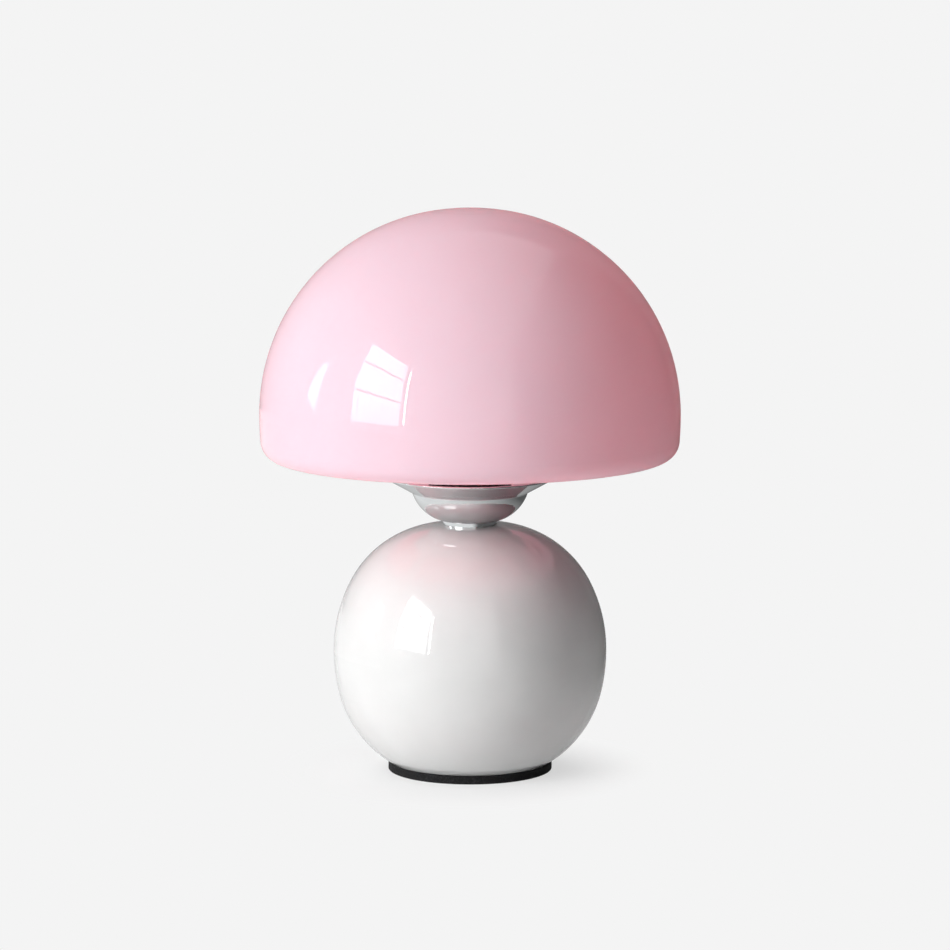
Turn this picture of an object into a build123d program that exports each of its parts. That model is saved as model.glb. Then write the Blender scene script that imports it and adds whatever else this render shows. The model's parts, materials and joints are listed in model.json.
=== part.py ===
from build123d import *
import os
from math import acos, asin, cos, degrees, radians, sin, sqrt, tan

# A mushroom table lamp: a hollow ceramic ball on a foam pad, a chrome cup on its neck, a lampholder in
# the cup, and a glass dome that rests on three claws. Millimetres, +Z up, -Y is the front.
# The origin is the centre of the foam pad's underside, so the table top is z = 0.

# ---------------------------------------------------------------- foot
pad_overhang = 0.7              # how far the pad stands out past the ball's foot
pad_thickness = 4.6
plate_thickness = 1.5
plate_rise_radius = 17.0        # the pressed-up middle, which makes room for the nut
plate_slope_width = 6.0
rebate_clearance = 0.5          # round the plate, in the ball's rebate
foot_nut_clearance = 1.0        # between the foot nut and the pad

# ---------------------------------------------------------------- ball
ball_radius = 71.7
ball_sink = 8.1                 # how much less than its radius the equator stands above the table
ball_wall = 4.0
flank_flattening = 7.1          # upper side, from the equator up to flank_angle: arc over ball_radius
flank_angle = 27.0
crown_tightening = 15.2         # top, from flank_angle to the flat seat: arc under ball_radius
belly_flattening = 24.7         # lower side, from the equator down to belly_angle: arc over ball_radius
belly_angle = 12.6
foot_tightening = 11.5          # underside, from belly_angle down to the pad: arc under ball_radius
foot_rim_width = 4.0            # the ball's rim outside the plate's rebate
foot_seat_width = 5.5           # the ledge the plate lies on
foot_ring_height = 6.4          # solid ring round the foot opening
neck_hole_radius = 8.0

# ---------------------------------------------------------------- cable inlet, low at the back
inlet_height = 22.0
inlet_bore_radius = 3.2         # passes a 6 mm round cable
inlet_wall = 1.3
inlet_fit = 0.1
inlet_flange_radius = 7.0
inlet_flange_thickness = 1.4
inlet_tail = 1.6                # how far it stands into the ball

# ---------------------------------------------------------------- rod and its fasteners
rod_radius = 5.0
rod_bore_radius = 3.5
rod_fit = 0.05                  # round the rod in the pieces screwed on it, whose threads are left plain
rod_clearance = 0.3             # round the rod in the pieces that only slip over it
rod_foot_clearance = 0.6        # between the rod's foot and the pad
wiring_hole_radius = 2.8        # lets the cable into the rod
wiring_hole_height = 22.0
washer_radius = 10.0
washer_thickness = 1.0
nut_across_flats = 14.0
nut_height = 4.0

# ---------------------------------------------------------------- neck
ring_radius = 14.2
ring_height = 2.2
bush_flange_radius = 11.5
bush_flange_thickness = 1.0
bush_spigot_length = 5.0
bush_fit = 0.1

# ---------------------------------------------------------------- cup
cup_wall = 1.2
bowl_arc = 22.1
bowl_centre_radius = 9.3        # the bowl's arc is centred on a ring of this radius
bowl_flat = 0.7                 # how much of the arc's depth the flat foot cuts off
crease_angle = 17.6             # how far below the ring the bowl ends and the flange starts
crease_fillet = 0.8
flange_slope = 29.0
cup_rim_radius = 44.5

# ---------------------------------------------------------------- lampholder
holder_neck_radius = 9.0
holder_neck_height = 3.6
holder_shoulder_arc = 7.5
holder_cap_radius = 21.0
holder_cap_height = 18.4
holder_cap_wall = 1.8
holder_rib_count = 30
holder_rib_depth = 0.7
holder_rib_width = 1.1
holder_rib_margin = 1.2
holder_thread_fit = 0.1
skirt_step = 1.3                # how much narrower the skirt is than the cap
skirt_wall = 2.2
skirt_collar_height = 2.0
skirt_spigot_length = 4.0
skirt_height = 29.5             # from the bottom of the collar to the mouth
skirt_lip_height = 3.0
skirt_mouth_radius = 14.8
insert_fit = 0.2
insert_height = 8.0
insert_above_cap = 3.0
set_screw_radius = 1.5
set_screw_inset = 0.2
contact_strip = 0.5
terminal_spacing = 16.0
terminal_shank_radius = 1.5
terminal_head_radius = 2.8
terminal_head_height = 1.8
terminal_depth = 5.0
terminal_slot_width = 0.8
terminal_slot_depth = 0.9
shell_bore_radius = 13.45
shell_wall = 0.5
shell_below_lip = 1.0
rod_in_cap = 3.4                # how far the rod stands above the lampholder's neck

# ---------------------------------------------------------------- dome
rim_rise = 6.08                 # from the lampholder's collar up to the underside of the dome's rim
shade_radius = 110.0
shade_wall = 3.5
shade_shoulder_inset = 2.6      # from the axis to the centre of the shoulder's arc
shade_crown_flattening = 15.2   # crown's arc over the shoulder's arc
shade_skirt_flattening = 85.0   # from the widest place down to shade_skirt_angle: arc over shade_radius
shade_skirt_angle = 4.15
shade_lip_arc = 9.8
shade_rim_width = 24.0          # from the widest place in to the opening

# ---------------------------------------------------------------- spider that carries the dome
claw_count = 3
spider_sheet = 1.2
spider_hub_radius = 27.0
spider_bore_clearance = 0.3
arm_width = 12.0
arm_joggle_width = 12.0         # run of the slope up to the dome's rim
arm_joggle_margin = 5.5         # from that slope to the finger's slot
arm_reach_under_rim = 4.2       # how far an arm runs out past the dome's opening
finger_width = 6.0
finger_height = 8.2             # above the arm's foot
finger_clearance = 0.8          # to the dome's opening
finger_slot_margin = 0.3
sleeve_wall = 0.6
sleeve_margin = 0.4             # from the finger to the sleeve
ring_nut_radius = 27.0
ring_nut_height = 4.0
ring_nut_notches = 12
ring_nut_notch_radius = 1.4

# ---------------------------------------------------------------- bulb
bulb_gap = 0.3                  # between the bulb's contact and the spring tongue at rest
bulb_contact_radius = 4.5
bulb_contact_height = 1.4
bulb_insulator_height = 3.0
bulb_thread_clearance = 0.25    # round the bulb's cap in the screw shell
bulb_cap_height = 22.0
bulb_cap_wall = 0.4
bulb_globe_radius = 22.5
bulb_globe_wall = 1.2
bulb_length = 81.0
bulb_globe_cut = 35.6           # angle below the globe's middle at which the housing meets it
bulb_housing_foot_radius = 13.8
bulb_housing_wall = 1.5
led_board_thickness = 1.6
led_count = 8
led_size = 2.8
led_height = 0.7
led_ring_radius = 10.0

# ---------------------------------------------------------------- heights worked out from the sizes above
ball_equator_z = ball_radius - ball_sink
flank_arc = ball_radius + flank_flattening
crown_arc = ball_radius - crown_tightening
belly_arc = ball_radius + belly_flattening
foot_arc = ball_radius - foot_tightening
flank_centre = (ball_radius - flank_arc, ball_equator_z)
crown_centre = (
    flank_centre[0] + (flank_arc - crown_arc) * cos(radians(flank_angle)),
    flank_centre[1] + (flank_arc - crown_arc) * sin(radians(flank_angle)),
)
belly_centre = (ball_radius - belly_arc, ball_equator_z)
foot_centre = (
    belly_centre[0] + (belly_arc - foot_arc) * cos(radians(belly_angle)),
    belly_centre[1] - (belly_arc - foot_arc) * sin(radians(belly_angle)),
)
ball_top_z = crown_centre[1] + crown_arc
plate_top_z = pad_thickness + plate_thickness
foot_nut_z = pad_thickness + foot_nut_clearance
plate_raised_z = foot_nut_z + nut_height + washer_thickness
cup_foot_z = ball_top_z + ring_height
cup_floor_z = cup_foot_z + cup_wall
cup_nut_z = cup_floor_z + washer_thickness
holder_z = cup_nut_z + nut_height
holder_cap_top_z = holder_z + holder_cap_height
collar_top_z = holder_cap_top_z + skirt_collar_height
rim_height = collar_top_z + rim_rise
mouth_z = holder_cap_top_z + skirt_height
insert_top_z = holder_cap_top_z + insert_above_cap
insert_bottom_z = insert_top_z - insert_height
ring_nut_z = collar_top_z + spider_sheet
rod_bottom_z = pad_thickness + rod_foot_clearance
rod_top_z = holder_z + holder_neck_height + rod_in_cap


def turned(outline):
    """Round piece whose half section has these (radius, height) corners."""
    with BuildPart() as piece:
        with BuildSketch(Plane.XZ):
            with BuildLine():
                Polyline(*outline, close=True)
            make_face()
        revolve(axis=Axis.Z)
    return piece


def arc_end_angle(centre, radius, height):
    """Angle in degrees at which an arc about centre reaches a height."""
    return degrees(asin((height - centre[1]) / radius))


def point_on(centre, radius, angle):
    """Point at an angle in degrees on an arc about centre."""
    return (centre[0] + radius * cos(radians(angle)), centre[1] + radius * sin(radians(angle)))


# ================================================================ foot pad and base plate
foot_edge = point_on(foot_centre, foot_arc, arc_end_angle(foot_centre, foot_arc, pad_thickness))
pad_radius = foot_edge[0] + pad_overhang
rebate_radius = foot_edge[0] - foot_rim_width
plate_radius = rebate_radius - rebate_clearance
foot_opening_radius = rebate_radius - foot_seat_width

with BuildPart() as foot_pad:
    with BuildSketch():
        Circle(pad_radius)
    extrude(amount=pad_thickness)

base_plate = turned([
    (rod_radius + rod_clearance, plate_raised_z),
    (plate_rise_radius, plate_raised_z),
    (plate_rise_radius + plate_slope_width, pad_thickness),
    (plate_radius, pad_thickness),
    (plate_radius, plate_top_z),
    (plate_rise_radius + plate_slope_width, plate_top_z),
    (plate_rise_radius, plate_raised_z + plate_thickness),
    (rod_radius + rod_clearance, plate_raised_z + plate_thickness),
])

# ================================================================ ball
def ball_arcs(inset, lowest_z):
    """Arcs of the ball's side, from its top seat down to lowest_z, set in from the outer face."""
    CenterArc(crown_centre, crown_arc - inset, flank_angle, 90 - flank_angle)
    CenterArc(flank_centre, flank_arc - inset, 0, flank_angle)
    CenterArc(belly_centre, belly_arc - inset, -belly_angle, belly_angle)
    end_angle = arc_end_angle(foot_centre, foot_arc - inset, lowest_z)
    CenterArc(foot_centre, foot_arc - inset, end_angle, -belly_angle - end_angle)


cavity_floor_z = pad_thickness + foot_ring_height
cavity_edge = point_on(
    foot_centre, foot_arc - ball_wall, arc_end_angle(foot_centre, foot_arc - ball_wall, cavity_floor_z)
)
inlet_angle = arc_end_angle(foot_centre, foot_arc, inlet_height)
inlet_point = point_on(foot_centre, foot_arc, inlet_angle)
inlet_axis = (0, cos(radians(inlet_angle)), sin(radians(inlet_angle)))
inlet_plane = Plane(origin=(0, inlet_point[0], inlet_point[1]), x_dir=(1, 0, 0), z_dir=inlet_axis)
inlet_hole_radius = inlet_bore_radius + inlet_wall + inlet_fit

with BuildPart() as ball_base:
    with BuildSketch(Plane.XZ):
        with BuildLine():
            ball_arcs(0, pad_thickness)
            Polyline(
                foot_edge,
                (rebate_radius, pad_thickness),
                (rebate_radius, plate_top_z),
                (foot_opening_radius, plate_top_z),
                (foot_opening_radius, cavity_floor_z),
                cavity_edge,
            )
            ball_arcs(ball_wall, cavity_floor_z)
            Polyline(
                (crown_centre[0], ball_top_z - ball_wall),
                (neck_hole_radius, ball_top_z - ball_wall),
                (neck_hole_radius, ball_top_z),
                (crown_centre[0], ball_top_z),
            )
        make_face()
    revolve(axis=Axis.Z)
    with BuildSketch(inlet_plane):
        Circle(inlet_hole_radius)
    extrude(amount=3 * ball_wall, both=True, mode=Mode.SUBTRACT)

# The grommet's flange follows the ball, so the ball is cut from it.
with BuildPart() as inlet_grommet:
    with BuildSketch(inlet_plane):
        Circle(inlet_flange_radius)
    extrude(amount=inlet_flange_thickness)
    extrude(inlet_grommet.faces().sort_by(Axis.Y)[0], amount=ball_wall / 2)
    with BuildSketch(inlet_plane):
        Circle(inlet_bore_radius + inlet_wall)
    extrude(amount=-(ball_wall + inlet_tail))
    add(ball_base.part, mode=Mode.SUBTRACT)
    with BuildSketch(inlet_plane.offset(inlet_flange_thickness)):
        Circle(inlet_bore_radius)
    extrude(amount=-(inlet_flange_thickness + ball_wall + inlet_tail), mode=Mode.SUBTRACT)

# ================================================================ rod, nuts and washers
with BuildPart() as threaded_rod:
    with BuildSketch(Plane.XY.offset(rod_bottom_z)):
        Circle(rod_radius)
        Circle(rod_bore_radius, mode=Mode.SUBTRACT)
    extrude(amount=rod_top_z - rod_bottom_z)
    with BuildSketch(Plane.XZ):
        with Locations((0, wiring_hole_height)):
            Circle(wiring_hole_radius)
    extrude(amount=-2 * rod_radius, mode=Mode.SUBTRACT)


def rod_washer(bottom_z, radius):
    """Plain washer over the rod."""
    with BuildPart() as washer:
        with BuildSketch(Plane.XY.offset(bottom_z)):
            Circle(radius)
            Circle(rod_radius + rod_clearance, mode=Mode.SUBTRACT)
        extrude(amount=washer_thickness)
    return washer


def rod_nut(bottom_z):
    """Hexagon nut on the rod, with its corners turned off at both ends."""
    corner_radius = nut_across_flats / 2 / cos(radians(30))
    turned_off = corner_radius - nut_across_flats / 2
    chamfer_height = turned_off * tan(radians(30))
    with BuildPart() as nut:
        with BuildSketch(Plane.XY.offset(bottom_z)):
            RegularPolygon(corner_radius, 6)
        extrude(amount=nut_height)
        with BuildSketch(Plane.XZ):
            with BuildLine():
                Polyline(
                    (0, bottom_z),
                    (corner_radius - turned_off, bottom_z),
                    (corner_radius, bottom_z + chamfer_height),
                    (corner_radius, bottom_z + nut_height - chamfer_height),
                    (corner_radius - turned_off, bottom_z + nut_height),
                    (0, bottom_z + nut_height),
                    close=True,
                )
            make_face()
        revolve(axis=Axis.Z, mode=Mode.INTERSECT)
        with BuildSketch(Plane.XY.offset(bottom_z)):
            Circle(rod_radius + rod_fit)
        extrude(amount=nut_height, mode=Mode.SUBTRACT)
    return nut


foot_washer = rod_washer(foot_nut_z + nut_height, washer_radius)
foot_nut = rod_nut(foot_nut_z)
cup_washer = rod_washer(cup_floor_z, washer_radius)
cup_nut = rod_nut(cup_nut_z)

# ================================================================ neck
# A stepped bush keeps the rod central in the ball's neck hole. Its flange lies in the ring's recess.
centring_bush = turned([
    (rod_radius + rod_clearance, ball_top_z - bush_spigot_length),
    (neck_hole_radius - bush_fit, ball_top_z - bush_spigot_length),
    (neck_hole_radius - bush_fit, ball_top_z),
    (bush_flange_radius, ball_top_z),
    (bush_flange_radius, ball_top_z + bush_flange_thickness),
    (rod_radius + rod_clearance, ball_top_z + bush_flange_thickness),
])

neck_ring = turned([
    (bush_flange_radius + bush_fit, ball_top_z),
    (ring_radius, ball_top_z),
    (ring_radius, cup_foot_z),
    (rod_radius + rod_clearance, cup_foot_z),
    (rod_radius + rod_clearance, ball_top_z + bush_flange_thickness),
    (bush_flange_radius + bush_fit, ball_top_z + bush_flange_thickness),
])

# ================================================================ cup
bowl_depth = bowl_arc - bowl_flat
bowl_centre = (bowl_centre_radius, cup_foot_z + bowl_depth)
bowl_foot_angle = -degrees(asin(bowl_depth / bowl_arc))
floor_angle = -degrees(asin((bowl_depth - cup_wall) / (bowl_arc - cup_wall)))
crease = point_on(bowl_centre, bowl_arc, -crease_angle)
flange_run = (cos(radians(flange_slope)), sin(radians(flange_slope)))
flange_normal = (flange_run[1], -flange_run[0])     # out of the flange's underside
rim_roll = cup_wall / 2 * (1 - flange_run[1])       # how far the rounded rim stands past the flange's underside
flange_length = (cup_rim_radius - rim_roll - crease[0]) / flange_run[0]
rim_under = (crease[0] + flange_length * flange_run[0], crease[1] + flange_length * flange_run[1])
rim_upper = (rim_under[0] - cup_wall * flange_normal[0], rim_under[1] - cup_wall * flange_normal[1])
rim_middle = ((rim_under[0] + rim_upper[0]) / 2, (rim_under[1] + rim_upper[1]) / 2)
# The bowl's inner arc meets the flange's upper face here.
upper_face_offset = bowl_arc * sin(radians(flange_slope + crease_angle)) - cup_wall
upper_face_reach = sqrt((bowl_arc - cup_wall) ** 2 - upper_face_offset ** 2)
inner_crease = (
    bowl_centre[0] + upper_face_offset * flange_normal[0] + upper_face_reach * flange_run[0],
    bowl_centre[1] + upper_face_offset * flange_normal[1] + upper_face_reach * flange_run[1],
)
inner_crease_angle = arc_end_angle(bowl_centre, bowl_arc - cup_wall, inner_crease[1])

with BuildPart() as cup:
    with BuildSketch(Plane.XZ) as cup_section:
        with BuildLine():
            Line((rod_radius + rod_clearance, cup_foot_z), point_on(bowl_centre, bowl_arc, bowl_foot_angle))
            CenterArc(bowl_centre, bowl_arc, bowl_foot_angle, -crease_angle - bowl_foot_angle)
            Line(crease, rim_under)
            CenterArc(rim_middle, cup_wall / 2, flange_slope - 90, 180)
            Line(rim_upper, inner_crease)
            CenterArc(bowl_centre, bowl_arc - cup_wall, floor_angle, inner_crease_angle - floor_angle)
            Polyline(
                point_on(bowl_centre, bowl_arc - cup_wall, floor_angle),
                (rod_radius + rod_clearance, cup_floor_z),
                (rod_radius + rod_clearance, cup_foot_z),
            )
        make_face()
        fillet(cup_section.vertices().sort_by_distance(crease)[0], crease_fillet)
    revolve(axis=Axis.Z)

# ================================================================ lampholder
cap_inner_radius = holder_cap_radius - holder_cap_wall
neck_top_z = holder_z + holder_neck_height
shoulder_z = neck_top_z + holder_shoulder_arc
cap_floor_z = neck_top_z + holder_cap_wall
with BuildPart() as holder_cap:
    with BuildSketch(Plane.XZ):
        with BuildLine():
            Polyline(
                (rod_radius + rod_fit, cap_floor_z),
                (rod_radius + rod_fit, holder_z),
                (holder_neck_radius, holder_z),
                (holder_neck_radius, neck_top_z),
                (holder_cap_radius - holder_shoulder_arc, neck_top_z),
            )
            CenterArc(
                (holder_cap_radius - holder_shoulder_arc, shoulder_z), holder_shoulder_arc, -90, 90
            )
            Polyline(
                (holder_cap_radius, shoulder_z),
                (holder_cap_radius, holder_cap_top_z),
                (cap_inner_radius, holder_cap_top_z),
                (cap_inner_radius, shoulder_z),
            )
            CenterArc(
                (holder_cap_radius - holder_shoulder_arc, shoulder_z),
                holder_shoulder_arc - holder_cap_wall, -90, 90,
            )
            Line(
                (holder_cap_radius - holder_shoulder_arc, cap_floor_z),
                (rod_radius + rod_fit, cap_floor_z),
            )
        make_face()
    revolve(axis=Axis.Z)
    # Grip ribs round the cap
    rib_length = holder_cap_top_z - shoulder_z - holder_rib_margin
    with BuildSketch(Plane.XY.offset(shoulder_z)):
        with PolarLocations(holder_cap_radius, holder_rib_count):
            Rectangle(2 * holder_rib_depth, holder_rib_width)
    extrude(amount=rib_length)
    # Hole for the set screw that stops the cap turning on the rod
    set_screw_plane = Plane(
        origin=(0, 0, holder_z + holder_neck_height / 2), x_dir=(1, 0, 0), z_dir=(0, 1, 0)
    )
    with BuildSketch(set_screw_plane):
        Circle(set_screw_radius)
    extrude(amount=holder_neck_radius, mode=Mode.SUBTRACT)

with BuildPart() as set_screw:
    with BuildSketch(set_screw_plane.offset(rod_radius)):
        Circle(set_screw_radius)
    extrude(amount=holder_neck_radius - rod_radius - set_screw_inset)

# The skirt screws into the cap. Its collar carries the spider, and its sleeve takes the ring nut.
skirt_radius = holder_cap_radius - skirt_step
skirt_inner_radius = skirt_radius - skirt_wall
skirt_collar_radius = holder_cap_radius + holder_rib_depth
spigot_radius = cap_inner_radius - holder_thread_fit
holder_skirt = turned([
    (skirt_inner_radius, holder_cap_top_z - skirt_spigot_length),
    (spigot_radius, holder_cap_top_z - skirt_spigot_length),
    (spigot_radius, holder_cap_top_z),
    (skirt_collar_radius, holder_cap_top_z),
    (skirt_collar_radius, collar_top_z),
    (skirt_radius, collar_top_z),
    (skirt_radius, mouth_z),
    (skirt_mouth_radius, mouth_z),
    (skirt_mouth_radius, mouth_z - skirt_lip_height),
    (skirt_inner_radius, mouth_z - skirt_lip_height),
])

# Ceramic insert that carries the contacts
insert_radius = skirt_inner_radius - insert_fit
with BuildPart() as holder_insert:
    with BuildSketch(Plane.XY.offset(insert_bottom_z)):
        Circle(insert_radius)
    extrude(amount=insert_height)
    with Locations((0, 0, insert_bottom_z)):
        with GridLocations(terminal_spacing, 0, 2, 1):
            Cylinder(
                terminal_shank_radius, terminal_depth,
                align=(Align.CENTER, Align.CENTER, Align.MIN), mode=Mode.SUBTRACT,
            )

with BuildPart() as terminal_screws:
    with BuildSketch(Plane.XY.offset(insert_bottom_z)):
        with GridLocations(terminal_spacing, 0, 2, 1):
            Circle(terminal_head_radius)
    extrude(amount=-terminal_head_height)
    with BuildSketch(Plane.XY.offset(insert_bottom_z)):
        with GridLocations(terminal_spacing, 0, 2, 1):
            Circle(terminal_shank_radius)
    extrude(amount=terminal_depth)
    with BuildSketch(Plane.XY.offset(insert_bottom_z - terminal_head_height)):
        with GridLocations(terminal_spacing, 0, 2, 1):
            Rectangle(terminal_slot_width, 2 * terminal_head_radius)
    extrude(amount=terminal_slot_depth, mode=Mode.SUBTRACT)

shell_top_z = mouth_z - skirt_lip_height - shell_below_lip
shell_radius = shell_bore_radius + shell_wall
with BuildPart() as screw_shell:
    with BuildSketch(Plane.XY.offset(insert_top_z)):
        Circle(shell_radius)
        Circle(shell_bore_radius, mode=Mode.SUBTRACT)
    extrude(amount=shell_top_z - insert_top_z)

# Spring tongue under the bulb's tip: a flat foot on the insert, a ramp and a flat end at the centre
tongue_width = 6.0
tongue_foot = (-11.0, -6.0)
tongue_flat_start = -3.0
tongue_end = 4.0
tongue_rise = 2.2
tongue_top_z = insert_top_z + tongue_rise + contact_strip
with BuildPart() as centre_contact:
    with BuildSketch(Plane.XZ):
        with BuildLine():
            Polyline(
                (tongue_foot[0], insert_top_z),
                (tongue_foot[1], insert_top_z),
                (tongue_flat_start, tongue_top_z - contact_strip),
                (tongue_end, tongue_top_z - contact_strip),
                (tongue_end, tongue_top_z),
                (tongue_flat_start, tongue_top_z),
                (tongue_foot[1], insert_top_z + contact_strip),
                (tongue_foot[0], insert_top_z + contact_strip),
                close=True,
            )
        make_face()
    extrude(amount=tongue_width / 2, both=True)

# Side contact: an angle with its foot on the insert and its leg against the screw shell
side_contact_width = 5.0
side_contact_height = 8.0
side_contact_foot = insert_radius - shell_radius - insert_fit
with BuildPart() as side_contact:
    with BuildSketch(Plane.XZ):
        with BuildLine():
            Polyline(
                (shell_radius, insert_top_z),
                (shell_radius + side_contact_foot, insert_top_z),
                (shell_radius + side_contact_foot, insert_top_z + contact_strip),
                (shell_radius + contact_strip, insert_top_z + contact_strip),
                (shell_radius + contact_strip, insert_top_z + side_contact_height),
                (shell_radius, insert_top_z + side_contact_height),
                close=True,
            )
        make_face()
    extrude(amount=side_contact_width / 2, both=True)

# ================================================================ spider
# Pressed from one sheet: a hub ring, and arms that rise to the dome's rim. Near each arm's end a finger
# is cut free on three sides and bent up inside the dome's opening.
foot_top_z = rim_height - sleeve_wall
foot_bottom_z = foot_top_z - spider_sheet
shade_opening_radius = shade_radius - shade_rim_width
finger_outer = shade_opening_radius - finger_clearance
finger_inner = finger_outer - spider_sheet
finger_middle = (finger_inner + finger_outer) / 2
finger_slot_length = finger_height
arm_end = shade_opening_radius + arm_reach_under_rim
arm_joggle_end = finger_inner - finger_slot_length - arm_joggle_margin
arm_joggle_start = arm_joggle_end - arm_joggle_width
with BuildPart() as claw_arm:
    with BuildSketch(Plane.XZ):
        with BuildLine():
            Polyline(
                (skirt_collar_radius, collar_top_z),
                (arm_joggle_start, collar_top_z),
                (arm_joggle_end, foot_bottom_z),
                (arm_end, foot_bottom_z),
                (arm_end, foot_top_z),
                (arm_joggle_end, foot_top_z),
                (arm_joggle_start, collar_top_z + spider_sheet),
                (skirt_collar_radius, collar_top_z + spider_sheet),
                close=True,
            )
        make_face()
    extrude(amount=arm_width / 2, both=True)
    fillet(claw_arm.edges().filter_by(Axis.Z).group_by(Axis.X)[-1], arm_width / 3)
    slot_middle = finger_inner - finger_slot_length / 2
    with BuildSketch(Plane.XY.offset(foot_bottom_z)):
        with Locations((slot_middle, 0)):
            Rectangle(finger_slot_length, finger_width + 2 * finger_slot_margin)
    extrude(amount=spider_sheet, mode=Mode.SUBTRACT)
    with BuildSketch(Plane.XY.offset(foot_bottom_z)):
        with Locations((finger_middle, 0)):
            Rectangle(spider_sheet, finger_width)
    extrude(amount=spider_sheet + finger_height)
    finger_tip = (finger_middle, 0, foot_top_z + finger_height)
    fillet(claw_arm.edges().filter_by(Axis.X).sort_by_distance(finger_tip)[:2], finger_width / 3)

with BuildPart() as shade_spider:
    with BuildSketch(Plane.XY.offset(collar_top_z)):
        Circle(spider_hub_radius)
        Circle(skirt_radius + spider_bore_clearance, mode=Mode.SUBTRACT)
    extrude(amount=spider_sheet)
    with PolarLocations(0, claw_count, start_angle=90):
        add(claw_arm.part)

# Soft sleeves pushed over the arms' ends, so that the glass lies on no bare metal
sleeve_start = finger_outer + sleeve_margin
sleeve_length = arm_end + sleeve_wall - sleeve_start
with BuildPart() as sleeve:
    with BuildSketch(Plane.XY.offset(foot_bottom_z - sleeve_wall)):
        with Locations((sleeve_start + sleeve_length / 2, 0)):
            Rectangle(sleeve_length, arm_width + 2 * sleeve_wall)
    extrude(amount=spider_sheet + 2 * sleeve_wall)
    fillet(sleeve.edges().filter_by(Axis.Z).group_by(Axis.X)[-1], arm_width / 3 + sleeve_wall)
    add(claw_arm.part, mode=Mode.SUBTRACT)

with BuildPart() as claw_sleeves:
    with PolarLocations(0, claw_count, start_angle=90):
        add(sleeve.part)

# Ring nut that clamps the spider on the skirt, with grip notches round it
with BuildPart() as ring_nut:
    with BuildSketch(Plane.XY.offset(ring_nut_z)):
        Circle(ring_nut_radius)
        Circle(skirt_radius + holder_thread_fit, mode=Mode.SUBTRACT)
        with PolarLocations(ring_nut_radius, ring_nut_notches):
            Circle(ring_nut_notch_radius, mode=Mode.SUBTRACT)
    extrude(amount=ring_nut_height)

# ================================================================ dome
shade_skirt_arc = shade_radius + shade_skirt_flattening
shade_shoulder_arc = shade_radius - shade_shoulder_inset
shade_crown_arc = shade_shoulder_arc + shade_crown_flattening
skirt_drop = (shade_skirt_arc - shade_lip_arc) * sin(radians(shade_skirt_angle))
shade_equator_z = rim_height + shade_lip_arc + skirt_drop
shoulder_centre = (shade_shoulder_inset, shade_equator_z)
shoulder_angle = degrees(acos(shade_shoulder_inset / shade_crown_flattening))
shade_crown_centre = (0, shade_equator_z - shade_crown_flattening * sin(radians(shoulder_angle)))
skirt_centre = (shade_radius - shade_skirt_arc, shade_equator_z)
lip_centre = point_on(skirt_centre, shade_skirt_arc - shade_lip_arc, -shade_skirt_angle)
shade_apex_z = shade_crown_centre[1] + shade_crown_arc


def shade_arcs(inset):
    """Arcs of the dome's wall, from its crown to the flat of its rim, set in from the outer face."""
    CenterArc(shade_crown_centre, shade_crown_arc - inset, shoulder_angle, 90 - shoulder_angle)
    CenterArc(shoulder_centre, shade_shoulder_arc - inset, 0, shoulder_angle)
    CenterArc(skirt_centre, shade_skirt_arc - inset, -shade_skirt_angle, shade_skirt_angle)
    CenterArc(lip_centre, shade_lip_arc - inset, -90, 90 - shade_skirt_angle)


with BuildPart() as glass_shade:
    with BuildSketch(Plane.XZ):
        with BuildLine():
            shade_arcs(0)
            Line((lip_centre[0], rim_height), (shade_opening_radius + shade_wall / 2, rim_height))
            CenterArc(
                (shade_opening_radius + shade_wall / 2, rim_height + shade_wall / 2),
                shade_wall / 2, 90, 180,
            )
            Line(
                (shade_opening_radius + shade_wall / 2, rim_height + shade_wall),
                (lip_centre[0], rim_height + shade_wall),
            )
            shade_arcs(shade_wall)
            Line((0, shade_apex_z - shade_wall), (0, shade_apex_z))
        make_face()
    revolve(axis=Axis.Z)

# ================================================================ bulb
bulb_bottom_z = tongue_top_z + bulb_gap
insulator_z = bulb_bottom_z + bulb_contact_height
bulb_cap_z = insulator_z + bulb_insulator_height
bulb_cap_top_z = bulb_cap_z + bulb_cap_height
globe_centre = (0, bulb_bottom_z + bulb_length - bulb_globe_radius)
globe_foot_radius, housing_top_z = point_on(globe_centre, bulb_globe_radius, -bulb_globe_cut)
bulb_cap_radius = shell_bore_radius - bulb_thread_clearance
cap_foot_radius = bulb_cap_radius - bulb_insulator_height

with BuildPart() as bulb_contact:
    with BuildSketch(Plane.XY.offset(bulb_bottom_z)):
        Circle(bulb_contact_radius)
    extrude(amount=bulb_contact_height)
    fillet(bulb_contact.edges().group_by(Axis.Z)[0], bulb_contact_height / 2)

bulb_insulator = turned([
    (0, insulator_z),
    (bulb_contact_radius, insulator_z),
    (cap_foot_radius, bulb_cap_z),
    (0, bulb_cap_z),
])

bulb_cap = turned([
    (0, bulb_cap_z),
    (cap_foot_radius, bulb_cap_z),
    (bulb_cap_radius, bulb_cap_z + bulb_insulator_height),
    (bulb_cap_radius, bulb_cap_top_z),
    (bulb_cap_radius - bulb_cap_wall, bulb_cap_top_z),
    (bulb_cap_radius - bulb_cap_wall, bulb_cap_z + bulb_insulator_height),
    (cap_foot_radius - bulb_cap_wall, bulb_cap_z + bulb_cap_wall),
    (0, bulb_cap_z + bulb_cap_wall),
])

board_z = housing_top_z - led_board_thickness
board_radius = globe_foot_radius - bulb_housing_wall
bulb_housing = turned([
    (bulb_housing_foot_radius - bulb_housing_wall, bulb_cap_top_z),
    (bulb_housing_foot_radius, bulb_cap_top_z),
    (globe_foot_radius, housing_top_z),
    (board_radius, housing_top_z),
    (board_radius, board_z),
    (board_radius - bulb_housing_wall, board_z),
])

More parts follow.
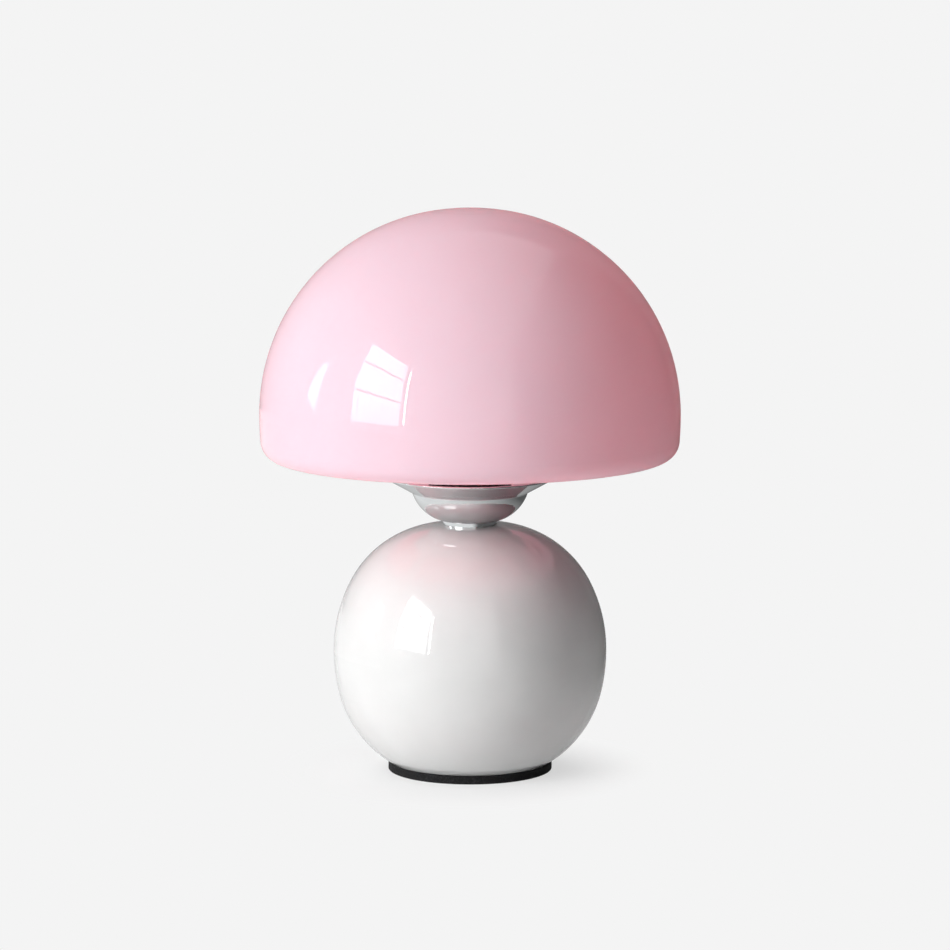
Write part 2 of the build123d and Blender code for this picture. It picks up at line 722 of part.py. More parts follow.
with BuildPart() as led_board:
    with BuildSketch(Plane.XY.offset(board_z)):
        Circle(board_radius)
    extrude(amount=led_board_thickness)
    with BuildSketch(Plane.XY.offset(housing_top_z)):
        with PolarLocations(led_ring_radius, led_count):
            Rectangle(led_size, led_size)
    extrude(amount=led_height)

globe_inner = bulb_globe_radius - bulb_globe_wall
globe_inner_angle = arc_end_angle(globe_centre, globe_inner, housing_top_z)
with BuildPart() as bulb_globe:
    with BuildSketch(Plane.XZ):
        with BuildLine():
            CenterArc(globe_centre, bulb_globe_radius, -bulb_globe_cut, 90 + bulb_globe_cut)
            Line(
                point_on(globe_centre, bulb_globe_radius, -bulb_globe_cut),
                point_on(globe_centre, globe_inner, globe_inner_angle),
            )
            CenterArc(globe_centre, globe_inner, globe_inner_angle, 90 - globe_inner_angle)
            Line((0, globe_centre[1] + globe_inner), (0, globe_centre[1] + bulb_globe_radius))
        make_face()
    revolve(axis=Axis.Z)

# ================================================================ files
pieces = {
    "foot_pad": foot_pad,
    "base_plate": base_plate,
    "foot_washer": foot_washer,
    "foot_nut": foot_nut,
    "threaded_rod": threaded_rod,
    "ball_base": ball_base,
    "inlet_grommet": inlet_grommet,
    "centring_bush": centring_bush,
    "neck_ring": neck_ring,
    "cup": cup,
    "cup_washer": cup_washer,
    "cup_nut": cup_nut,
    "holder_cap": holder_cap,
    "set_screw": set_screw,
    "holder_insert": holder_insert,
    "terminal_screws": terminal_screws,
    "screw_shell": screw_shell,
    "centre_contact": centre_contact,
    "side_contact": side_contact,
    "holder_skirt": holder_skirt,
    "shade_spider": shade_spider,
    "claw_sleeves": claw_sleeves,
    "ring_nut": ring_nut,
    "glass_shade": glass_shade,
    "bulb_contact": bulb_contact,
    "bulb_insulator": bulb_insulator,
    "bulb_cap": bulb_cap,
    "bulb_housing": bulb_housing,
    "led_board": led_board,
    "bulb_globe": bulb_globe,
}

os.makedirs("parts", exist_ok=True)
for name, piece in pieces.items():
    piece.part.label = name
    export_step(piece.part, f"parts/{name}.step")
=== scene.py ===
import json
from math import cos, pi, radians, sin

import bpy
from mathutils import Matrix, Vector, noise


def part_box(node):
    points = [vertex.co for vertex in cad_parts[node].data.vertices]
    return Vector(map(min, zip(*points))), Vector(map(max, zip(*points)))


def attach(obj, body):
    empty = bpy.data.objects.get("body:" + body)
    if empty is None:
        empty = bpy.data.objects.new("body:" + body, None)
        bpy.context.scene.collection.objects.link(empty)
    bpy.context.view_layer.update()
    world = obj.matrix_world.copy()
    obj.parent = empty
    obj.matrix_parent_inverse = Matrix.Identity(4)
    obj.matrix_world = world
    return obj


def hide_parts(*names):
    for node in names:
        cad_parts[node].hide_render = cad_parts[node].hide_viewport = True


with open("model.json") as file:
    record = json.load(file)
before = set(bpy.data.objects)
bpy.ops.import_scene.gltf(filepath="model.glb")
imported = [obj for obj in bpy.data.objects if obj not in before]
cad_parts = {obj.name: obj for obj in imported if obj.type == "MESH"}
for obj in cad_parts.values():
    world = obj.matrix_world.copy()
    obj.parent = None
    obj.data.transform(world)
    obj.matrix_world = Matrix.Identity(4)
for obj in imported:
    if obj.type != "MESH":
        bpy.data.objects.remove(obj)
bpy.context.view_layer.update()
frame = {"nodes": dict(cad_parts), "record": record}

# Metres throughout, as in the frame. Most lengths below are given in millimetres and scaled by MM.
MM = 0.001
scene = bpy.context.scene
scene.view_settings.view_transform = "Standard"

BACKGROUND = 0.905                 # linear value of the pale floor and sky as the camera sees them

CAMERA_PLACE = (0.0026, -2.2, 0.4625)
CAMERA_TILT = 7.928                # degrees down from level
CAMERA_LENS, CAMERA_SENSOR = 160.8, 36.0    # millimetres


# ---------------------------------------------------------------- camera
def add_camera():
    data = bpy.data.cameras.new("camera")
    data.sensor_width = CAMERA_SENSOR
    data.lens = CAMERA_LENS
    data.clip_end = 200.0
    camera = bpy.data.objects.new("camera", data)
    camera.location = CAMERA_PLACE
    camera.rotation_euler = (radians(90.0 - CAMERA_TILT), 0.0, 0.0)
    scene.collection.objects.link(camera)
    scene.camera = camera


# ---------------------------------------------------------------- node helpers
class Tree:
    """Short calls for building a node tree."""

    def __init__(self, tree):
        self.tree = tree
        self.tree.nodes.clear()

    def node(self, kind, links=None, values=None, **settings):
        made = self.tree.nodes.new(kind)
        for name, value in settings.items():
            setattr(made, name, value)
        for socket, value in (values or {}).items():
            made.inputs[socket].default_value = value
        for socket, source in (links or {}).items():
            self.tree.links.new(source, made.inputs[socket])
        return made

    def math(self, operation, *terms):
        made = self.tree.nodes.new("ShaderNodeMath")
        made.operation = operation
        for socket, term in zip(made.inputs, terms):
            if isinstance(term, (int, float)):
                socket.default_value = term
            else:
                self.tree.links.new(term, socket)
        return made.outputs[0]

    def choose(self, switch, off, on):
        """The value off where switch is 0, and on where it is 1."""
        return self.math("ADD", self.math("MULTIPLY", switch, on),
                         self.math("MULTIPLY", self.math("SUBTRACT", 1.0, switch), off))

    def ramp(self, source, stops):
        """Colour ramp with (position, colour) stops."""
        made = self.node("ShaderNodeValToRGB", {"Fac": source})
        elements = made.color_ramp.elements
        while len(elements) < len(stops):
            elements.new(0.5)
        for element, (position, colour) in zip(elements, stops):
            element.position = position
            element.color = (*colour, 1.0)
        return made.outputs["Color"]

    def span(self, source, low, high, to_low, to_high, smooth=False):
        """Maps a value from one span to another, clamped."""
        made = self.node(
            "ShaderNodeMapRange", {"Value": source},
            {"From Min": low, "From Max": high, "To Min": to_low, "To Max": to_high},
        )
        if smooth:
            made.interpolation_type = "SMOOTHSTEP"
        return made.outputs["Result"]


NOISE_LOW, NOISE_HIGH = 0.3, 0.7   # most of a noise's values lie between these


def two_tones(dark, light):
    """Stops of a ramp that follows a noise from one colour to another."""
    return [(NOISE_LOW, dark), (NOISE_HIGH, light)]


class Surface(Tree):
    """A material on one Principled shader, with its detail in object coordinates."""

    def __init__(self, name, colour, roughness, **sockets):
        self.material = bpy.data.materials.new(name)
        self.material.use_nodes = True
        super().__init__(self.material.node_tree)
        self.output = self.node("ShaderNodeOutputMaterial")
        self.shader = self.node("ShaderNodeBsdfPrincipled")
        self.tree.links.new(self.shader.outputs[0], self.output.inputs["Surface"])
        self.place = self.node("ShaderNodeTexCoord").outputs["Object"]
        self.shader.inputs["Base Color"].default_value = (*colour, 1.0)
        self.shader.inputs["Roughness"].default_value = roughness
        for socket, value in sockets.items():
            self.shader.inputs[socket.replace("_", " ")].default_value = value
        self.normal = None

    def noise(self, size, detail=3.0, stretch=None, roughness=0.5):
        """Noise whose features are about size metres across. stretch squeezes it along X, Y and Z."""
        place = self.place
        if stretch:
            place = self.node(
                "ShaderNodeMapping", {"Vector": place}, {"Scale": stretch}
            ).outputs["Vector"]
        made = self.node(
            "ShaderNodeTexNoise", {"Vector": place},
            {"Scale": 1.0 / size, "Detail": detail, "Roughness": roughness},
        )
        return made.outputs["Fac"]

    def cells(self, size):
        """Distance to the middle of the nearest cell, for cells about size metres across."""
        made = self.node("ShaderNodeTexVoronoi", {"Vector": self.place}, {"Scale": 1.0 / size})
        return made.outputs["Distance"]

    def colours(self, source, stops):
        self.tree.links.new(self.ramp(source, stops), self.shader.inputs["Base Color"])
        return self

    def roughnesses(self, source, low, high):
        spread = self.span(source, NOISE_LOW, NOISE_HIGH, low, high)
        self.tree.links.new(spread, self.shader.inputs["Roughness"])
        return self

    def relief(self, source, depth):
        """Adds a bump whose full range is depth metres."""
        links = {"Height": source}
        if self.normal is not None:
            links["Normal"] = self.normal
        made = self.node("ShaderNodeBump", links, {"Distance": depth, "Strength": 1.0})
        self.normal = made.outputs["Normal"]
        self.tree.links.new(self.normal, self.shader.inputs["Normal"])
        return self


# ---------------------------------------------------------------- materials
def foam_surface():
    """Closed-cell foam: near-black, with pale specks where cut cells catch the light."""
    s = Surface("foam", (0.012, 0.012, 0.013), 0.92, Specular_IOR_Level=0.25)
    cells = s.cells(0.55 * MM)
    specks = s.noise(0.7 * MM, detail=4.0, roughness=0.7)
    s.colours(specks, [(0.0, (0.006, 0.006, 0.007)), (0.52, (0.010, 0.010, 0.011)),
                       (0.66, (0.040, 0.040, 0.041)), (0.8, (0.10, 0.10, 0.10))])
    s.roughnesses(specks, 0.82, 0.97)
    return s.relief(cells, 0.25 * MM).relief(s.noise(3.0 * MM), 0.3 * MM)


def ceramic_surface():
    """White glaze: a thick gloss that pools a little, over a faintly uneven body."""
    s = Surface("glazed_ceramic", (0.73, 0.735, 0.732), 0.06, IOR=1.52,
                Coat_Weight=0.6, Coat_Roughness=0.03, Coat_IOR=1.5)
    s.colours(s.noise(26 * MM, detail=4.0), two_tones((0.715, 0.721, 0.717), (0.745, 0.751, 0.748)))
    s.roughnesses(s.noise(9 * MM), 0.05, 0.08)
    s.relief(s.noise(14 * MM, detail=1.5), 0.10 * MM)
    return s.relief(s.noise(1.6 * MM, detail=2.0), 0.004 * MM)


def glass_surface():
    """Cased pink glass: a fire-polished skin over a milky wall that passes mostly red light. Rays that are
    inside the wall go on through it, so that light is coloured once on its way through."""
    s = Surface("pink_cased_glass", (0.525, 0.507, 0.580), 0.02, IOR=1.5)
    s.colours(s.noise(45 * MM, detail=2.0), two_tones((0.517, 0.500, 0.573), (0.533, 0.514, 0.587)))
    s.roughnesses(s.noise(20 * MM), 0.015, 0.03)
    s.relief(s.noise(30 * MM, detail=1.0), 0.05 * MM)
    tint = s.ramp(s.noise(60 * MM, detail=1.0), two_tones((0.478, 0.158, 0.172), (0.490, 0.172, 0.186)))
    through = s.node("ShaderNodeBsdfTranslucent", {"Color": tint})
    lit = s.node("ShaderNodeAddShader", {0: s.shader.outputs[0], 1: through.outputs[0]})
    within = s.node("ShaderNodeNewGeometry").outputs["Backfacing"]
    clear = s.node("ShaderNodeBsdfTransparent")
    wall = s.node("ShaderNodeMixShader", {0: within, 1: lit.outputs[0], 2: clear.outputs[0]})
    s.tree.links.new(wall.outputs[0], s.output.inputs["Surface"])
    return s


def chrome_surface():
    """Polished chrome plate with the faint rings of spinning."""
    s = Surface("polished_chrome", (0.73, 0.755, 0.76), 0.06, Metallic=1.0)
    s.colours(s.noise(8 * MM, detail=3.0), two_tones((0.71, 0.735, 0.74), (0.75, 0.775, 0.78)))
    s.roughnesses(s.noise(2.0 * MM, detail=4.0), 0.03, 0.07)
    rings = s.node("ShaderNodeTexWave", {"Vector": s.place}, {"Scale": 280.0, "Distortion": 0.6},
                   wave_type="BANDS", bands_direction="Z").outputs["Fac"]
    return s.relief(rings, 0.004 * MM).relief(s.noise(9 * MM), 0.03 * MM)


def metal_surface(name, colour, roughness):
    """Plated or bare metal with fine drawing marks and duller patches."""
    s = Surface(name, colour, roughness, Metallic=1.0)
    patches = s.noise(6.0 * MM, detail=4.0)
    dark = tuple(0.86 * value for value in colour)
    s.colours(patches, two_tones(dark, colour))
    s.roughnesses(patches, roughness - 0.05, roughness + 0.10)
    return s.relief(s.noise(0.35 * MM, detail=2.0, stretch=(1.0, 1.0, 7.0)), 0.010 * MM)


def sheet_steel_surface():
    """Pressed sheet: rolled grain along the sheet and small dents from the tool."""
    s = Surface("pressed_steel", (0.60, 0.60, 0.61), 0.30, Metallic=1.0)
    s.colours(s.noise(5 * MM, detail=5.0), two_tones((0.54, 0.54, 0.55), (0.66, 0.66, 0.67)))
    s.roughnesses(s.noise(1.2 * MM, detail=3.0), 0.24, 0.40)
    s.relief(s.noise(0.3 * MM, detail=2.0, stretch=(1.0, 6.0, 1.0)), 0.012 * MM)
    return s.relief(s.noise(7 * MM), 0.06 * MM)


def moulded_surface(name, colour, roughness, spread=0.06, grain=0.4, **sockets):
    """Moulded plastic, rubber or ceramic: slight flow marks in colour, and a fine skin whose marks are about
    grain millimetres across."""
    s = Surface(name, colour, roughness, **sockets)
    dark = tuple(value * (1.0 - spread) for value in colour)
    light = tuple(min(1.0, value * (1.0 + spread)) for value in colour)
    s.colours(s.noise(7 * MM, detail=4.0), two_tones(dark, light))
    s.roughnesses(s.noise(2.5 * MM, detail=3.0), roughness - 0.05, roughness + 0.07)
    return s.relief(s.noise(grain * MM, detail=3.0), 0.02 * MM)


def painted_surface():
    """Black stoved paint on the pressed plate."""
    s = Surface("stoved_paint", (0.02, 0.02, 0.02), 0.4)
    s.colours(s.noise(3 * MM), two_tones((0.014, 0.014, 0.014), (0.032, 0.032, 0.032)))
    s.roughnesses(s.noise(2 * MM), 0.32, 0.5)
    return s.relief(s.noise(0.8 * MM, detail=2.0), 0.03 * MM)


SURFACES = {
    "foam": foam_surface(),
    "ceramic_ball": ceramic_surface(),
    "plate": painted_surface(),
    "steel": metal_surface("zinc_plate", (0.60, 0.61, 0.62), 0.28),
    "nylon": moulded_surface("nylon", (0.78, 0.77, 0.70), 0.5, Subsurface_Weight=0.2, Subsurface_Scale=MM),
    "grommet": moulded_surface("grommet_rubber", (0.72, 0.72, 0.71), 0.55, grain=0.6),
    "chrome": chrome_surface(),
    "phenolic": moulded_surface("phenolic", (0.014, 0.014, 0.015), 0.26, spread=0.3),
    "steatite": moulded_surface("steatite", (0.76, 0.74, 0.68), 0.6, spread=0.05, grain=0.25),
    "brass": metal_surface("brass", (0.74, 0.56, 0.27), 0.22),
    "spider": sheet_steel_surface(),
    "silicone": moulded_surface("silicone", (0.72, 0.72, 0.71), 0.48, spread=0.03, grain=0.8,
                                Subsurface_Weight=0.5, Subsurface_Scale=2 * MM),
    "pink_glass": glass_surface(),
    "opal_globe": moulded_surface("opal_diffuser", (0.90, 0.90, 0.88), 0.28, spread=0.015, grain=0.5,
                                  Subsurface_Weight=0.4, Subsurface_Scale=4 * MM),
    "bulb_body": moulded_surface("bulb_housing", (0.86, 0.86, 0.85), 0.3, spread=0.02),
    "nickel": metal_surface("nickel", (0.66, 0.64, 0.59), 0.24),
    "black_glass": moulded_surface("contact_insulator", (0.02, 0.02, 0.02), 0.12, spread=0.3),
    "board": moulded_surface("solder_mask", (0.82, 0.82, 0.82), 0.35, spread=0.03),
}


# ---------------------------------------------------------------- pieces made here
def lathe(name, path, segments, shift):
    """Closed mesh turned about Z from a path of (radius, height) in millimetres that starts and ends on the
    axis or closes on itself. shift(angle, radius, height) returns the point's own radius."""
    vertices, rings = [], []
    for radius, height in path:
        if radius == 0:
            rings.append([len(vertices)])
            vertices.append((0.0, 0.0, height * MM))
            continue
        ring = []
        for step in range(segments):
            angle = 2 * pi * step / segments
            own = shift(angle, radius, height)
            ring.append(len(vertices))
            vertices.append((own * cos(angle) * MM, own * sin(angle) * MM, height * MM))
        rings.append(ring)
    if path[0][0] != 0:
        rings.append(rings[0])
    faces = []
    for lower, upper in zip(rings, rings[1:]):
        for step in range(segments):
            after = (step + 1) % segments
            if len(lower) == 1:
                faces.append((lower[0], upper[after], upper[step]))
            elif len(upper) == 1:
                faces.append((lower[step], lower[after], upper[0]))
            else:
                faces.append((lower[step], lower[after], upper[after], upper[step]))
    mesh = bpy.data.meshes.new(name)
    mesh.from_pydata(vertices, [], faces)
    mesh.validate()
    mesh.shade_smooth()
    made = bpy.data.objects.new(name, mesh)
    scene.collection.objects.link(made)
    return made


def finish_piece(made, body, slot, *replaced):
    """Gives a made piece its material, its body and the nodes that it replaces."""
    made.data.materials.append(SURFACES[slot].material)
    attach(made, body)
    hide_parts(*replaced)


def rounded(radius, height, edge, angles):
    """Points on a round of radius edge about (radius, height), at angles in degrees up from straight down."""
    return [(radius + edge * sin(radians(a)), height - edge * cos(radians(a))) for a in angles]


def foam_foot():
    """The foam pad with softened edges and a torn, pitted side."""
    _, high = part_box("foot_pad")
    radius, top = high.x / MM, high.z / MM
    edge, side_steps, segments = 0.5, 14, 540
    face_rings = (0.5, 0.9)            # rings on the flat faces, as shares of the radius
    pits = ((0.10, 1.1), (0.08, 0.35))      # each layer's depth, and how many pits to a millimetre
    path = [(0, 0)] + [(radius * share, 0) for share in face_rings]
    path += rounded(radius - edge, edge, edge, (0, 30, 60))
    path += [(radius, edge + (top - 2 * edge) * step / side_steps) for step in range(side_steps + 1)]
    path += rounded(radius - edge, top - edge, edge, (120, 150, 180))
    path += [(radius * share, top) for share in reversed(face_rings)] + [(0, top)]

    def pitted(angle, own, height):
        if own < (radius + radius * face_rings[-1]) / 2:
            return own
        spot = Vector((own * cos(angle), own * sin(angle), height))
        return own - sum(depth * abs(noise.noise(spot * count)) for depth, count in pits)

    finish_piece(lathe("foam_foot", path, segments, pitted), "base", "foam", "foot_pad")


THREAD_PITCH = 3.62                # E27
THREAD_RINGS, THREAD_SEGMENTS = 66, 120


def thread_wave(angle, height):
    """Height of the round thread, from 0 at its root to 1 at its crest."""
    turns = height / THREAD_PITCH - angle / (2 * pi)
    return 0.5 + 0.5 * cos(2 * pi * turns)


def thread_heights(start, end):
    """Heights of the rings that carry a thread, evenly from start to end."""
    return [start + (end - start) * step / THREAD_RINGS for step in range(THREAD_RINGS + 1)]


def bulb_thread():
    """The bulb's cap with its rolled thread."""
    low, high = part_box("bulb_cap")
    crest, foot, top = high.x / MM, low.z / MM, high.z / MM
    depth, wall, collar = 0.85, 0.4, 3.6
    chamfer, chamfer_steps = 3.0, 4
    turn_in, turn_up = 0.6, 0.15       # small round between the flat end and the chamfer
    collar_step, floor = 0.8, 1.0      # slope up to the collar, and the end's thickness over the chamfer
    run_in, run_out = 1.8, 1.2         # heights over which the thread starts and stops
    start, end = foot + chamfer, top - collar
    path = [(0, foot), (crest - chamfer - turn_in, foot), (crest - chamfer, foot + turn_up)]
    path += [(crest - chamfer * (1 - step / chamfer_steps),
              foot + turn_up + (chamfer - turn_up) * step / chamfer_steps)
             for step in range(1, chamfer_steps)]
    path += [(crest, height) for height in thread_heights(start, end)]
    path += [(crest - depth, end + collar_step), (crest - depth, top), (crest - depth - wall, top),
             (crest - depth - wall, foot + chamfer + floor), (0, foot + chamfer + floor)]

    def rolled(angle, own, height):
        if own < crest or not start <= height <= end:
            return own
        fade = min(1.0, (height - start) / run_in, (end - height) / run_out)
        return own - depth + depth * fade * thread_wave(angle, height)

    finish_piece(lathe("bulb_thread", path, THREAD_SEGMENTS, rolled), "bulb", "nickel", "bulb_cap")


def shell_thread():
    """The lampholder's screw shell, pressed to the thread from outside the bulb's crest."""
    low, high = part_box("screw_shell")
    outer, foot, top = high.x / MM, low.z / MM, high.z / MM
    wall, depth = 0.25, 0.32
    proud = 0.02                       # how far the crests stand out past the plain shell
    run_in, run_out = 1.5, 1.0
    inner = outer - wall - depth + proud
    heights = thread_heights(foot, top)
    path = [(inner, height) for height in heights]
    path += [(inner + wall, height) for height in reversed(heights)]

    def rolled(angle, own, height):
        fade = max(0.0, min(1.0, (height - foot) / run_in, (top - height) / run_out))
        return own + depth * fade * thread_wave(angle, height)

    finish_piece(lathe("shell_thread", path, THREAD_SEGMENTS, rolled), "base", "brass", "screw_shell")


# ---------------------------------------------------------------- stage and light
def flat_card(name, corners, material, uv=False):
    """Stage card through four or more corners, in metres. uv gives a card of four corners its own map."""
    mesh = bpy.data.meshes.new(name)
    mesh.from_pydata([tuple(c) for c in corners], [], [tuple(range(len(corners)))])
    if uv:
        layer = mesh.uv_layers.new(name="card")
        for loop, spot in zip(layer.data, ((0, 0), (1, 0), (1, 1), (0, 1))):
            loop.uv = spot
    mesh.materials.append(material)
    card = bpy.data.objects.new(name, mesh)
    scene.collection.objects.link(card)
    return card


def level_corners(left, right, front, back, height):
    """Corners of a level card."""
    return [(left, front, height), (right, front, height), (right, back, height), (left, back, height)]


def upright_corners(middle, heading, start, end, low, high):
    """Corners of an upright card: along heading (degrees) from start to end about middle, low to high."""
    run = (cos(radians(heading)), sin(radians(heading)))
    left = (middle[0] + start * run[0], middle[1] + start * run[1])
    right = (middle[0] + end * run[0], middle[1] + end * run[1])
    return [(*left, low), (*right, low), (*right, high), (*left, high)]


def stage_material(name):
    """A new material, and its tree with no nodes in it."""
    material = bpy.data.materials.new(name)
    material.use_nodes = True
    return material, Tree(material.node_tree)


def seen_ray(t):
    """1 for rays from the camera, off gloss or through glass, and 0 for those that light a surface."""
    path = t.node("ShaderNodeLightPath").outputs
    return t.math("MAXIMUM", t.math("MAXIMUM", path["Is Camera Ray"], path["Is Glossy Ray"]),
                  path["Is Transmission Ray"])


FLOOR_REACH = 40.0
FLOOR_ALBEDO = 0.95
FLOOR_SHADOW = 0.31                # how much of the floor's own lighting the camera sees by the lamp
FLOOR_GLOW = 0.62                  # the rest of the floor's pale tone there
SHADOW_INNER, SHADOW_OUTER = 0.045, 0.100   # both give way to the plain tone between these radii

# strength of each light, in the same measure as BACKGROUND
LEVELS = {
    "window": 10.3,                # what the main window lights
    "window_shine": 7.5,           # the main window as gloss shows it
    "strip": 30.0,                 # narrow window beside it, for gloss alone
    "side": 5.0,                   # side window, for gloss alone
    "ambient": 0.02,               # the world, where it lights a surface
    "right": 0.04,                 # the room's right side, and the flag over the floor
    "back": 0.60,                  # the back wall near the window
    "ceiling": 0.66,
    "fill": 0.30,                  # from the front, hidden from gloss
    "rear": 3.2,                   # from behind and above, hidden from gloss
}

# the room's sides; the lamp stands on the floor at the origin
ROOM_LEFT, ROOM_RIGHT = -1.9, 1.1
ROOM_FRONT, ROOM_BACK = -2.4, 1.6
ROOM_HEIGHT = 2.2
BACK_FADE = (-1.2, 0.4)            # where along X the back wall dims, to BACK_DIM
BACK_DIM = 0.12

WINDOW_PLACE, WINDOW_HEADING = (-1.40, -1.185), -76.4
WINDOW_HALF_WIDTH = 0.508
WINDOW_SILL, WINDOW_TOP = 0.19, 1.425
WINDOW_BARS = (0.354, 0.716)       # shares of the window's height, as BAR_EDGE and LOW_ROW are
BAR_EDGE = (0.010, 0.016)          # from a bar's middle to where its black ends, and to where it has gone
CURTAIN_FOLDS = 8.5                # across the window's width
FOLD_EDGE, FOLD_SHADE = (0.02, 0.12), 0.30  # a crease's reach in shares of a fold, and its tone
LOW_ROW, LOW_ROW_SHADE = 0.36, 0.75         # the panes dim a little towards the sill
STRIP_SPAN, STRIP_TOP = (0.622, 0.656), 1.36
SIDE_WINDOW_X = -1.86
SIDE_WINDOW = [(0.00, 0.17), (0.22, 0.36), (0.21, 0.54), (0.10, 0.84), (-0.04, 0.90)]     # (Y, Z) outline

FLAG_RUN = (0.95, 0.30, 0.0)       # the floor flag fades in along this direction
FLAG_FADE = (-0.16, 0.28)          # from clear to full cover
FLAG_COVER = 0.92
FLAG_HEIGHT = 0.5 * MM


def add_floor():
    """Floor that lights the lamp as a pale surface does, and is seen at the background's tone with the lamp's
    shadow on it."""
    material, t = stage_material("pale_floor")
    seen = seen_ray(t)
    place = t.node("ShaderNodeTexCoord").outputs["Object"]
    away = t.node("ShaderNodeVectorMath", {0: place}, operation="LENGTH").outputs["Value"]
    near = t.span(away, SHADOW_INNER, SHADOW_OUTER, 1.0, 0.0, smooth=True)
    albedo = t.choose(seen, FLOOR_ALBEDO, t.math("MULTIPLY", near, FLOOR_ALBEDO * FLOOR_SHADOW))
    glow = t.span(near, 0.0, 1.0, BACKGROUND, FLOOR_GLOW)
    diffuse = t.node("ShaderNodeBsdfDiffuse", {"Color": albedo})
    emission = t.node("ShaderNodeEmission", {"Strength": t.math("MULTIPLY", seen, glow)})
    both = t.node("ShaderNodeAddShader", {0: diffuse.outputs[0], 1: emission.outputs[0]})
    t.node("ShaderNodeOutputMaterial", {"Surface": both.outputs[0]})
    flat_card("floor", level_corners(-FLOOR_REACH, FLOOR_REACH, -FLOOR_REACH, FLOOR_REACH, 0), material)


def add_world():
    """World that is seen at the background's tone and lights very little."""
    world = bpy.data.worlds.new("pale_world")
    world.use_nodes = True
    scene.world = world
    t = Tree(world.node_tree)
    strength = t.span(seen_ray(t), 0.0, 1.0, LEVELS["ambient"], BACKGROUND)
    background = t.node("ShaderNodeBackground", {"Strength": strength}, {"Color": (1.0, 1.0, 1.0, 1.0)})
    t.node("ShaderNodeOutputWorld", {"Surface": background.outputs[0]})


def light_card(name, corners, level, pattern=None, shine_only=False):
    """Soft light that the camera doesn't see. pattern(t, level) returns a strength that varies over the card.
    A card for shine only shows in gloss and lights no dull surface."""
    material, t = stage_material(name)
    emission = t.node("ShaderNodeEmission", values={"Strength": level})
    if pattern:
        t.tree.links.new(pattern(t, level), emission.inputs["Strength"])
    t.node("ShaderNodeOutputMaterial", {"Surface": emission.outputs[0]})
    card = flat_card(name, corners, material, uv=bool(pattern))
    card.visible_camera = False
    card.visible_diffuse = not shine_only
    return card


def window_panes(t, level):
    """Three rows of panes under thin bars, behind a curtain's faint upright folds, as gloss shows them. What
    the window lights gets its plain level."""
    spot = t.node("ShaderNodeUVMap", uv_map="card").outputs["UV"]
    parts = t.node("ShaderNodeSeparateXYZ", {"Vector": spot}).outputs
    shine = LEVELS["window_shine"]
    for bar in WINDOW_BARS:
        off = t.math("ABSOLUTE", t.math("SUBTRACT", parts["Y"], bar))
        shine = t.math("MULTIPLY", t.span(off, *BAR_EDGE, 0.0, 1.0), shine)
    fold = t.math("PINGPONG", t.math("MULTIPLY", parts["X"], CURTAIN_FOLDS), 0.5)
    shine = t.math("MULTIPLY", t.span(fold, *FOLD_EDGE, FOLD_SHADE, 1.0), shine)
    shine = t.math("MULTIPLY", t.span(parts["Y"], 0.0, LOW_ROW, LOW_ROW_SHADE, 1.0), shine)
    glossy = t.node("ShaderNodeLightPath").outputs["Is Glossy Ray"]
    return t.choose(glossy, level, shine)


def back_wall_fade(t, level):
    """The back wall dims away from the window."""
    place = t.node("ShaderNodeTexCoord").outputs["Object"]
    across = t.node("ShaderNodeSeparateXYZ", {"Vector": place}).outputs["X"]
    return t.span(across, *BACK_FADE, level, BACK_DIM)


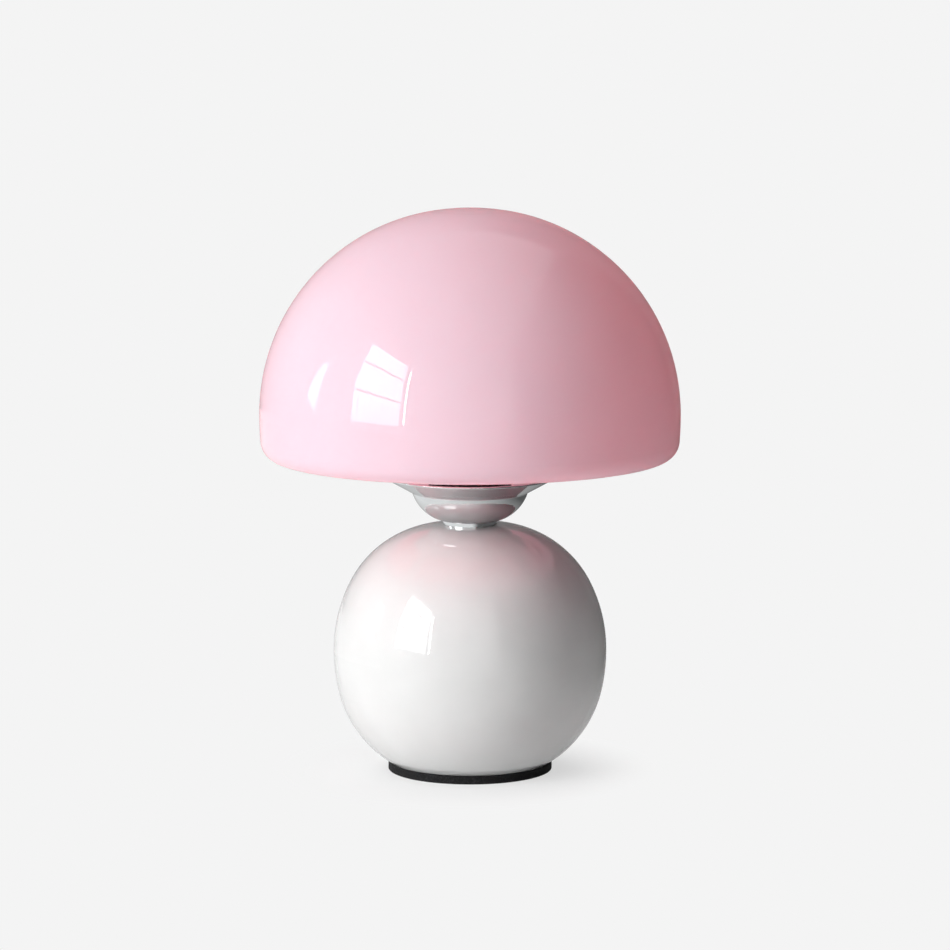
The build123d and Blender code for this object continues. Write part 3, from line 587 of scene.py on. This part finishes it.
def add_floor_flag():
    """Flag just over the floor, for gloss alone: it fades in away from the window, where the floor is dim."""
    material, t = stage_material("floor_flag")
    place = t.node("ShaderNodeTexCoord").outputs["Object"]
    along = t.node("ShaderNodeVectorMath", {0: place}, {1: FLAG_RUN}, operation="DOT_PRODUCT")
    cover = t.span(along.outputs["Value"], *FLAG_FADE, 0.0, FLAG_COVER)
    clear = t.node("ShaderNodeBsdfTransparent")
    dim = t.node("ShaderNodeEmission", values={"Strength": LEVELS["right"]})
    both = t.node("ShaderNodeMixShader", {0: cover, 1: clear.outputs[0], 2: dim.outputs[0]})
    t.node("ShaderNodeOutputMaterial", {"Surface": both.outputs[0]})
    corners = level_corners(ROOM_LEFT, ROOM_RIGHT, ROOM_FRONT, ROOM_BACK, FLAG_HEIGHT)
    flag = flat_card("floor_flag", corners, material)
    for kind in ("camera", "diffuse", "transmission", "shadow", "volume_scatter"):
        setattr(flag, "visible_" + kind, False)


def add_windows():
    """The main window, the narrow one in the same wall, and the side window."""
    window = (WINDOW_PLACE, WINDOW_HEADING)
    panes = upright_corners(*window, -WINDOW_HALF_WIDTH, WINDOW_HALF_WIDTH, WINDOW_SILL, WINDOW_TOP)
    light_card("window_light", panes, LEVELS["window"], window_panes)
    strip = upright_corners(*window, *STRIP_SPAN, WINDOW_SILL, STRIP_TOP)
    light_card("window_strip", strip, LEVELS["strip"], shine_only=True)
    side = [(SIDE_WINDOW_X, y, z) for y, z in SIDE_WINDOW]
    light_card("side_window", side, LEVELS["side"], shine_only=True)


def add_room():
    """The room's other sides, which darken the reflections."""
    right = upright_corners((ROOM_RIGHT, 0.0), 90.0, ROOM_FRONT, ROOM_BACK, 0.0, ROOM_HEIGHT)
    light_card("right_wall", right, LEVELS["right"])
    back = upright_corners((0.0, ROOM_BACK), 0.0, ROOM_LEFT, ROOM_RIGHT, 0.0, ROOM_HEIGHT)
    light_card("back_wall", back, LEVELS["back"], back_wall_fade)
    ceiling = level_corners(ROOM_LEFT, ROOM_RIGHT, ROOM_FRONT, ROOM_BACK, ROOM_HEIGHT)
    light_card("ceiling", ceiling, LEVELS["ceiling"])


def add_fills():
    """Light from the front and the rear that leaves no reflection."""
    front = upright_corners((-0.9, -2.6), heading=-19.0, start=-0.9, end=0.9, low=0.1, high=2.0)
    light_card("front_fill", front, LEVELS["fill"]).visible_glossy = False
    rear = upright_corners((-0.50, 1.34), heading=20.0, start=-0.7, end=0.7, low=0.8, high=2.0)
    light_card("rear_fill", rear, LEVELS["rear"]).visible_glossy = False


# ---------------------------------------------------------------- assembly
add_camera()
for member in frame["record"]["subparts"]:
    node_object = frame["nodes"][member["node"]]
    node_object.data.materials.clear()
    node_object.data.materials.append(SURFACES[member["material_slot"]].material)

foam_foot()
bulb_thread()
shell_thread()
add_floor()
add_world()
add_windows()
add_room()
add_fills()
add_floor_flag()
